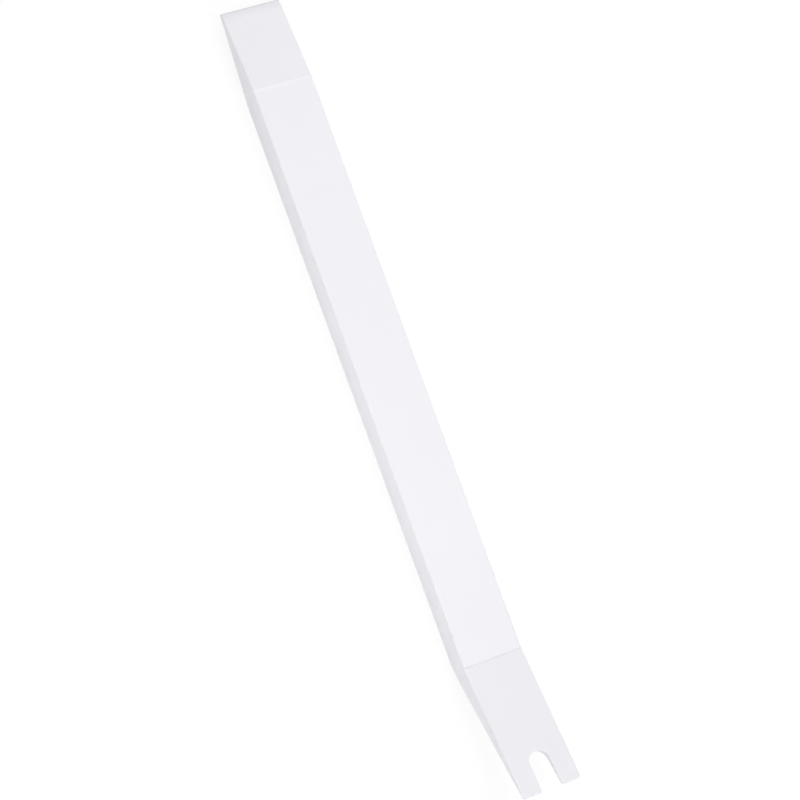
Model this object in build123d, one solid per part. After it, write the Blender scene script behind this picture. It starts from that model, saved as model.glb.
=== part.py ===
from build123d import *
import os

# Sizes of the mounting wedge, in millimetres.
# +X runs from the chisel end to the fork end, +Z from the back face to the front face.

# Bar
bar_length = 250.0
bar_width = 20.0
bar_thickness = 8.0

# Chisel end: both faces slope to a thin edge at mid-thickness,
# and the front face rolls down over a short nose, so that the edge doesn't mark the paint
chisel_front_bevel = 26.0
chisel_back_bevel = 29.5
chisel_edge_thickness = 0.5
chisel_nose_length = 2.0
chisel_nose_drop = 0.75
chisel_nose_radius = 8.0
chisel_crease_radius = 3.0
chisel_corner_radius = 0.65

# Fork end: bent towards the front face and tapered to its prongs
fork_length = 41.5
fork_rise = 8.0
prong_tip_thickness = 0.6
prong_corner_radius = 0.8
fork_front_crease_radius = 1.0
fork_back_bend_radius = 22.0

# U-shaped slot for the shank of a trim clip
slot_width = 6.6
slot_depth = 11.8

# Rounding of the rims of the front and the back surface,
# which stays smaller than the corners that it runs round
rim_radius = 0.5
rim_share_of_corner = 0.8

# Places that follow from the sizes
overall_height = bar_thickness + fork_rise
chisel_end_x = -bar_length / 2
fork_end_x = bar_length / 2
fork_crease_x = fork_end_x - fork_length
front_crease_x = chisel_end_x + chisel_front_bevel
back_crease_x = chisel_end_x + chisel_back_bevel
chisel_bottom = (bar_thickness - chisel_edge_thickness) / 2
chisel_top = chisel_bottom + chisel_edge_thickness
nose_x = chisel_end_x + chisel_nose_length
nose_top = chisel_top + chisel_nose_drop
far_depth = bar_thickness
far_top = overall_height + far_depth

# What counts as level, upright or touching
near_zero = 0.001


def slot_outline():
    """U-shaped slot seen from the front: a half-round bottom and parallel sides."""
    slot_radius = slot_width / 2
    straight_length = slot_depth - slot_radius
    round_centre_x = fork_end_x - straight_length
    bottom = Pos(round_centre_x, 0) * Circle(slot_radius)
    sides = Pos(fork_end_x - straight_length / 2, 0) * Rectangle(straight_length, slot_width)
    return bottom + sides


def front_outline():
    """Outline seen from the front: a strip with the slot cut into its fork end."""
    strip = Rectangle(bar_length, bar_width) - slot_outline()
    chisel_corners = strip.vertices().group_by(Axis.X)[0]
    strip = fillet(chisel_corners, chisel_corner_radius)
    prong_corners = strip.vertices().group_by(Axis.X)[-1]
    return fillet(prong_corners, prong_corner_radius)


def rim_edges(block, far_z):
    """Edges where the upright walls meet the shaped surface, and not the far plane."""
    walls = [face for face in block.faces() if abs(face.normal_at().Z) < near_zero]
    edges = [edge for wall in walls for edge in wall.edges()]
    level = [edge for edge in edges if abs(edge.tangent_at(0.5).Z) < 1 - near_zero]
    return ShapeList(edge for edge in level if abs(edge.center().Z - far_z) > near_zero)


def half_block(surface_line, creases, far_z):
    """The bar's outline filled from one of its surfaces to a level plane far from it.

    The surface is a line seen from the side, carried across the bar. Its creases are rounded
    first, and then its rim all the way round, slot and prongs included."""
    far_corners = [(fork_end_x, far_z), (chisel_end_x, far_z)]
    side = Plane.XZ * make_face(Polyline(*surface_line, *far_corners, close=True))
    for x, z, radius in creases:
        corner = side.vertices().sort_by_distance((x, 0, z))[0]
        side = fillet(corner, radius)
    outline = extrude(front_outline(), far_top, both=True)
    block = outline & extrude(side, bar_width, both=True)
    smallest_corner = min(chisel_corner_radius, prong_corner_radius)
    radius = min(rim_radius, rim_share_of_corner * smallest_corner)
    return fillet(rim_edges(block, far_z), radius)


def wedge_bar():
    """One moulding: what lies both behind the front surface and before the back surface."""
    front_line = [
        (chisel_end_x, chisel_top),
        (nose_x, nose_top),
        (front_crease_x, bar_thickness),
        (fork_crease_x, bar_thickness),
        (fork_end_x, overall_height),
    ]
    front_creases = [
        (nose_x, nose_top, chisel_nose_radius),
        (front_crease_x, bar_thickness, chisel_crease_radius),
        (fork_crease_x, bar_thickness, fork_front_crease_radius),
    ]
    back_line = [
        (chisel_end_x, chisel_bottom),
        (back_crease_x, 0),
        (fork_crease_x, 0),
        (fork_end_x, overall_height - prong_tip_thickness),
    ]
    back_creases = [
        (back_crease_x, 0, chisel_crease_radius),
        (fork_crease_x, 0, fork_back_bend_radius),
    ]
    behind_front = half_block(front_line, front_creases, -far_depth)
    before_back = half_block(back_line, back_creases, far_top)
    all_round = Pos(0, 0, overall_height / 2) * Box(2 * bar_length, 2 * bar_width, 3 * far_top)
    behind_back = all_round - before_back
    return behind_front - behind_back


os.makedirs("parts", exist_ok=True)
bar = wedge_bar()
print("wedge_bar", "valid", bar.is_valid, "volume", round(bar.volume, 1), bar.bounding_box())
export_step(bar, "parts/wedge_bar.step")
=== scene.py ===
# %% [markdown]
# # A moulded plastic mounting wedge
# This is a hand tool for taking off the trim of a vehicle: a plain white bar, 250 mm long,
# with a chisel edge at one end and a thin fork, bent up a little, at the other. The whole
# tool is one moulding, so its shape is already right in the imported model, which is loaded
# here as a frame that stays fixed. What is left to make is what the eye reads as material
# and light: a satin white plastic, a bright studio floor and a soft sky of lamps. The
# camera comes last, where the photograph was taken from.

# %% Load the frame
import math
import bpy
import numpy as np
from mathutils import Matrix, Vector


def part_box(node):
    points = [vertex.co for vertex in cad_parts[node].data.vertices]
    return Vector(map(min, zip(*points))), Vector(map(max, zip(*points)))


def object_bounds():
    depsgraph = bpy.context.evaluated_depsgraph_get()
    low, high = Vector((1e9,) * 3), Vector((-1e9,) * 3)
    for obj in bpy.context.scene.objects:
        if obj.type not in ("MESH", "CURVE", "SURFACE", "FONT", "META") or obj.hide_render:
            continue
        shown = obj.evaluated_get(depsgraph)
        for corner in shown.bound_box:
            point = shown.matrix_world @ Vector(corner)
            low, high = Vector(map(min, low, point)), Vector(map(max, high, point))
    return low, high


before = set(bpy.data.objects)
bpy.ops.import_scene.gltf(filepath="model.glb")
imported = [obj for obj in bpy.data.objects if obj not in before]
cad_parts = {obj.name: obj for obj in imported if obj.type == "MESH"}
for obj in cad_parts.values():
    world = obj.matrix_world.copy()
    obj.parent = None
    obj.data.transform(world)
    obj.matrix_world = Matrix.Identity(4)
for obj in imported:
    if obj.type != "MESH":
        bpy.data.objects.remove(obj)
bpy.context.view_layer.update()
cad_low, cad_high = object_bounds()
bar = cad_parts["wedge_bar"]
bar_low, bar_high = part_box("wedge_bar")
print("bar size in m:", [round(side, 5) for side in bar_high - bar_low])

# %% [markdown]
# ## Units, colours and nodes
# Blender measures in metres, and the tool is thought of in millimetres, so one value turns
# the one into the other. Colours are written as sRGB hex, the way a paint chip or a screen
# shows them, but shaders add up light, so each channel is turned to linear first. Every
# material below is built from nodes, and one small helper adds a node: first its own
# settings, and then each input, which is either a plain value or the output of another node.

# %% Millimetres, colours and one node at a time
mm = 0.001


def linear(hex_colour):
    """sRGB hex to linear RGBA: each channel, from 0 to 1, is divided by 12.92 up to the end
    of a short straight toe, and raised to the power 2.4 above it."""
    toe_end, opaque = 0.04045, 1.0
    channels = [int(hex_colour[i:i + 2], 16) / 255 for i in (1, 3, 5)]
    light = [c / 12.92 if c <= toe_end else ((c + 0.055) / 1.055) ** 2.4 for c in channels]
    return light + [opaque]


def add_node(tree, kind, inputs, **settings):
    """Add one node with its settings. inputs maps a socket's name or place to its value,
    or to the output socket that feeds it."""
    node = tree.nodes.new(kind)
    for name, value in settings.items():
        setattr(node, name, value)
    for name, value in inputs.items():
        if isinstance(value, bpy.types.NodeSocket):
            tree.links.new(value, node.inputs[name])
        else:
            node.inputs[name].default_value = value
    return node


def new_material(name):
    """An empty node material and its tree."""
    material = bpy.data.materials.new(name)
    material.use_nodes = True
    material.node_tree.nodes.clear()
    return material, material.node_tree


print("middle grey #808080 is", round(linear("#808080")[0], 3), "in linear light")

# %% [markdown]
# ## Lines across the bar
# Three thin lines of light and shade cross the front of the tool, and they are painted into
# the colour. The ridge where the chisel begins gets a painted highlight, a little brighter
# than the faces beside it. The fork rises out of an inside corner, and the line there is
# painted shade, darker. The chisel's own edge, where the face rounds over, gets painted
# shade, a soft grey. The creases themselves are already in the mesh, so the lines only need
# tone. They could be painted on as an image, but each is a plane across the bar, and a mask
# that measures how far a point is from that plane is sharper than an image and stays in
# place, because it reads the object's own coordinates.

# %% How near a point is to a line across the bar
def line_across(tree, place, at, width, lowest):
    """1 on the plane x = at, falling smoothly to 0 at half the width from it, and 0 below
    the height named lowest, which keeps a line off the side and back faces."""
    axes = add_node(tree, "ShaderNodeSeparateXYZ", {"Vector": place}).outputs
    along = add_node(tree, "ShaderNodeMath", {0: axes["X"], 1: at}, operation="SUBTRACT")
    away = add_node(tree, "ShaderNodeMath", {0: along.outputs[0]}, operation="ABSOLUTE")
    near = add_node(tree, "ShaderNodeMapRange", {
        "Value": away.outputs[0], "From Max": width / 2, "To Min": 1.0, "To Max": 0.0,
    }, interpolation_type="SMOOTHSTEP")
    high = add_node(tree, "ShaderNodeMath", {0: axes["Z"], 1: lowest}, operation="GREATER_THAN")
    shown = add_node(tree, "ShaderNodeMath", {0: near.outputs[0], 1: high.outputs[0]},
                     operation="MULTIPLY")
    return shown.outputs[0]


# The corners of the ends are rounded, so the box stops a few hundredths of a millimetre
# short of them, and half its length is rounded to a tenth
half_length = round((bar_high.x - bar_low.x) / 2, 4)
chisel_length, fork_length = 26.0 * mm, 41.5 * mm
near_front = 7.5 * mm
# Each line's place along the bar, its width and the height that it stays above: the chisel's
# edge and the fork's corner get painted shade, the chisel ridge a painted highlight
chisel_edge = (-half_length, 1.8 * mm, 0.0)
chisel_ridge = (chisel_length - half_length, 0.9 * mm, near_front)
fork_corner = (half_length - fork_length, 0.8 * mm, near_front)
print("lines across the bar at x in mm:",
      [round(line[0] / mm, 1) for line in (chisel_edge, chisel_ridge, fork_corner)])

# %% [markdown]
# ## The plastic
# The real tool is acetal, injection moulded in white: dense, slightly waxy, with a satin
# skin from a fine spark-eroded mould. To the eye that is a cool near-white without gloss
# spots, which darkens gently where a face turns from the light. A plain white diffuse
# colour would look like paper. Three things make it plastic. The grain of the mould breaks
# up reflections: it is finer than a pixel, so it is drawn at half a millimetre, as coarse
# as it needs to be to show. A thick moulding sinks a little as it cools, so its flat faces
# are never quite flat, in slow waves a few centimetres long. And some light enters the skin
# and comes out a millimetre away, which softens the rims and the thin prongs.

# %% White moulded acetal
def moulded_acetal():
    """Satin white acetal, its patterns on Object coordinates and their sizes from
    millimetres: a noise repeats about once in 1 / scale."""
    material, tree = new_material("white_acetal_moulded_satin")
    grain_size, grain_height = 0.45 * mm, 0.004 * mm
    sink_size, sink_height = 28 * mm, 0.05 * mm
    # Colours of the painted lines: painted shade at the chisel edge, a painted highlight on the
    # ridge, painted shade in the fork's corner
    painted_edge_grey, painted_highlight_white, painted_corner_grey = "#E8E7EC", "#F8F7FC", "#E6E5EA"
    smoothest, roughest, ridge_roughness = 0.40, 0.50, 0.32
    place = add_node(tree, "ShaderNodeTexCoord", {}).outputs["Object"]
    waves = add_node(tree, "ShaderNodeTexNoise", {
        "Vector": place, "Scale": 1 / sink_size, "Detail": 2.0,
    }).outputs["Fac"]
    grain = add_node(tree, "ShaderNodeTexNoise", {
        "Vector": place, "Scale": 1 / grain_size, "Detail": 3.0,
    }).outputs["Fac"]
    # A cool near-white that drifts by about one level of grey from place to place
    colour = add_node(tree, "ShaderNodeMix", {
        "Factor": waves, "A": linear("#F0EFF4"), "B": linear("#F3F2F7"),
    }, data_type="RGBA").outputs["Result"]
    # Painted shade along the rounded chisel edge
    painted_edge_shade = line_across(tree, place, *chisel_edge)
    # A painted highlight on the chisel ridge
    painted_ridge_highlight = line_across(tree, place, *chisel_ridge)
    # Painted shade in the fork's inside corner
    painted_corner_shade = line_across(tree, place, *fork_corner)
    lines = ((painted_edge_shade, painted_edge_grey), (painted_ridge_highlight, painted_highlight_white), (painted_corner_shade, painted_corner_grey))
    for mask, line_colour in lines:
        colour = add_node(tree, "ShaderNodeMix", {
            "Factor": mask, "A": colour, "B": linear(line_colour),
        }, data_type="RGBA").outputs["Result"]
    # Satin: reflections are wide and soft, and a shade sharper along the chisel ridge, under
    # its painted highlight
    satin = add_node(tree, "ShaderNodeMapRange", {
        "Value": grain, "To Min": smoothest, "To Max": roughest,
    }).outputs["Result"]
    roughness = add_node(tree, "ShaderNodeMix", {
        "Factor": painted_ridge_highlight, "A": satin, "B": ridge_roughness,
    }).outputs["Result"]
    sunk = add_node(tree, "ShaderNodeBump", {
        "Height": waves, "Distance": sink_height, "Strength": 1.0,
    }).outputs["Normal"]
    skin = add_node(tree, "ShaderNodeBump", {
        "Height": grain, "Distance": grain_height, "Strength": 1.0, "Normal": sunk,
    }).outputs["Normal"]
    plastic = add_node(tree, "ShaderNodeBsdfPrincipled", {
        "Base Color": colour,
        "Roughness": roughness,
        "Normal": skin,
        "IOR": 1.48,
        "Subsurface Weight": 0.12,
        "Subsurface Radius": (1.0, 1.0, 1.0),
        "Subsurface Scale": 0.8 * mm,
    })
    add_node(tree, "ShaderNodeOutputMaterial", {"Surface": plastic.outputs["BSDF"]})
    return material


bar.data.materials.clear()
bar.data.materials.append(moulded_acetal())
print("materials on the bar:", [material.name for material in bar.data.materials])

# %% [markdown]
# ## White to the eye, and plain to the light
# The tool lies on its flat back on a white table, in a room so bright that both vanish in
# white. Enough real light for that would burn out the tool as well. So the table and the
# room behind it answer by what kind of ray asks, which the Light Path node tells: a ray
# from the camera, or one mirrored or refracted by the tool, sees white, and every other ray
# sees an ordinary pale surface that gives the tool's sides their soft light.

# %% Which rays see the white
def sees_white(tree):
    """1 for a camera, glossy or transmission ray, and 0 for the rays that carry light: the
    three flags added up and clamped to 1."""
    path = add_node(tree, "ShaderNodeLightPath", {}).outputs
    mirrored = add_node(tree, "ShaderNodeMath", {
        0: path["Is Camera Ray"], 1: path["Is Glossy Ray"],
    }, operation="ADD").outputs[0]
    return add_node(tree, "ShaderNodeMath", {
        0: mirrored, 1: path["Is Transmission Ray"],
    }, operation="ADD", use_clamp=True).outputs[0]


white = linear("#FFFFFF")
white_strength = 1.0
print("white in linear light:", white)

# %% [markdown]
# ## The floor
# What the camera sees is a glow just short of white plus a thin layer of grey laminate. In
# full light the two add up to white, and in the shadow of the tool the grey adds less, so
# the shadow stays, faint as in a light tent. Away from the tool, where no shadow falls and
# the lamps reach less, the floor turns to an even white, with no edge at the horizon.

# %% White studio floor
def table_laminate():
    """White laminate: rays that see white meet glow + grey near the tool and plain white
    far out, and other rays meet a pale diffuse sheet."""
    glow_strength = 0.895
    shadow_reach, all_white = 150 * mm, 350 * mm
    material, tree = new_material("white_table_laminate")
    place = add_node(tree, "ShaderNodeTexCoord", {}).outputs["Object"]
    away = add_node(tree, "ShaderNodeVectorMath", {0: place}, operation="LENGTH")
    fade = add_node(tree, "ShaderNodeMapRange", {
        "Value": away.outputs["Value"], "From Min": shadow_reach, "From Max": all_white,
    }, interpolation_type="SMOOTHSTEP").outputs["Result"]
    glow = add_node(tree, "ShaderNodeEmission", {
        "Color": white, "Strength": glow_strength,
    }).outputs[0]
    grey = add_node(tree, "ShaderNodeBsdfDiffuse", {"Color": linear("#606060")}).outputs[0]
    near = add_node(tree, "ShaderNodeAddShader", {0: glow, 1: grey}).outputs[0]
    far = add_node(tree, "ShaderNodeEmission", {
        "Color": white, "Strength": white_strength,
    }).outputs[0]
    looks = add_node(tree, "ShaderNodeMixShader", {0: fade, 1: near, 2: far}).outputs[0]
    gives = add_node(tree, "ShaderNodeBsdfDiffuse", {"Color": linear("#F2F2F2")}).outputs[0]
    surface = add_node(tree, "ShaderNodeMixShader", {0: sees_white(tree), 1: gives, 2: looks})
    add_node(tree, "ShaderNodeOutputMaterial", {"Surface": surface.outputs[0]})
    return material


def studio_floor(half_side, height):
    """A level square around the middle of the tool: the corners of a unit square, times
    half the side, at one height."""
    unit = np.array([(-1, -1, 0), (1, -1, 0), (1, 1, 0), (-1, 1, 0)], dtype=float)
    corners = unit * half_side + np.array([0, 0, height])
    mesh = bpy.data.meshes.new("studio_floor")
    mesh.from_pydata(corners.tolist(), [], [(0, 1, 2, 3)])
    mesh.materials.append(table_laminate())
    floor = bpy.data.objects.new("studio_floor", mesh)
    bpy.context.scene.collection.objects.link(floor)
    return floor


# The floor lies a hair below the tool, so that no two faces share one plane
hairline = 0.02 * mm
floor_half_side = 3.0
floor_height = cad_low.z - hairline
floor = studio_floor(floor_half_side, floor_height)
print("floor side in m:", floor.dimensions.x, "height in mm:", round(floor_height / mm, 3))

# %% [markdown]
# ## The light
# The photograph was taken in soft light from all round, strongest from above and from the
# fork's end, with the long side face in half shade. A sky of one brightness fills every
# shadow, and four soft lamps round the tool give each face its own tone: one above, one
# past the fork, one past the chisel, and a small low one before the side face. One large
# lamp would have been simpler, but then the side face goes grey or the front face burns
# out. Each lamp was rendered alone first, and the powers come from adding those pictures up
# until all the faces had the tones of the photograph. The fork's and the side's lamps stand
# low, where the front face would mirror them to somebody at its far end or behind it, and
# burn out. In a studio they'd be behind white cloth, so here they give no reflection.

# %% Sky and lamps
scene = bpy.context.scene
scene.view_settings.view_transform = "Standard"


def white_room(fill_strength):
    """A world that is white to the rays that see white, and gives an even, dimmer light."""
    world = bpy.data.worlds.new("white_studio")
    world.use_nodes = True
    tree = world.node_tree
    tree.nodes.clear()
    gives = add_node(tree, "ShaderNodeBackground", {"Color": white, "Strength": fill_strength})
    looks = add_node(tree, "ShaderNodeBackground", {"Color": white, "Strength": white_strength})
    surface = add_node(tree, "ShaderNodeMixShader", {
        0: sees_white(tree), 1: gives.outputs[0], 2: looks.outputs[0],
    })
    add_node(tree, "ShaderNodeOutputWorld", {"Surface": surface.outputs[0]})
    return world


def softbox(name, place, side, power, mirrored=True):
    """A square area lamp, its side in metres and its power in watts, that faces the middle
    of the tool. Where it isn't mirrored, glossy rays pass it by."""
    data = bpy.data.lights.new(name, "AREA")
    data.shape = "SQUARE"
    data.size = side
    data.energy = power
    lamp = bpy.data.objects.new(name, data)
    lamp.location = place
    lamp.rotation_mode = "QUATERNION"
    lamp.rotation_quaternion = (-Vector(place)).to_track_quat("-Z", "Y")
    lamp.visible_camera = False
    lamp.visible_glossy = mirrored
    scene.collection.objects.link(lamp)
    return lamp


sky_strength = 0.25
scene.world = white_room(sky_strength)
# Each lamp's name, place and side in metres, and power in watts
lamps = [
    softbox("overhead_softbox", (0.08, 0.10, 0.60), 0.40, 1.507),
    softbox("fork_softbox", (1.20, 0.25, 0.55), 0.70, 6.425, mirrored=False),
    softbox("chisel_softbox", (-0.40, 0.25, 0.35), 0.30, 0.849),
    softbox("side_softbox", (0.02, -0.30, 0.10), 0.15, 0.353, mirrored=False),
]
print("lamps:", [(lamp.name, lamp.data.energy) for lamp in lamps])

# %% [markdown]
# ## The camera
# The photograph looks down on the long side of the tool at about 65 degrees, from nearly
# a metre away, through a long lens that keeps the sides of the bar almost parallel. The
# tool stands nearly upright in the picture, so the camera is also rolled about its own line
# of sight. It could be placed by hand, but a point to aim at and four numbers say the same
# and can be checked: the azimuth and elevation of the way back from the tool to the camera,
# the distance, and the roll. They were solved from the ends, corners and creases of the
# tool in the picture.

# %% Camera at the photograph's angle
aim = Vector((1.99, 2.33, 3.97)) * mm
distance = 923.8 * mm
azimuth = math.radians(9.45)
elevation = math.radians(64.87)
roll = math.radians(61.36)
# Blender's camera data takes the sensor and the focal length in millimetres as they are
full_frame_width, focal_length = 36.0, 139.22
nearest_seen = 50 * mm
back = Vector((
    math.sin(azimuth) * math.cos(elevation),
    -math.cos(azimuth) * math.cos(elevation),
    math.sin(elevation),
))
camera_data = bpy.data.cameras.new("photo_camera")
camera_data.sensor_width = full_frame_width
camera_data.lens = focal_length
camera_data.clip_start = nearest_seen
camera = bpy.data.objects.new("photo_camera", camera_data)
upright = (-back).to_track_quat("-Z", "Y").to_matrix().to_4x4()
rolled = Matrix.Rotation(roll, 4, "Z")
camera.matrix_world = Matrix.Translation(aim + back * distance) @ upright @ rolled
scene.collection.objects.link(camera)
scene.camera = camera
print("camera at", [round(value, 4) for value in camera.matrix_world.translation])

# %% [markdown]
# ## Last update
# At the end the view layer is brought up to date.

# %% Last update
bpy.context.view_layer.update()
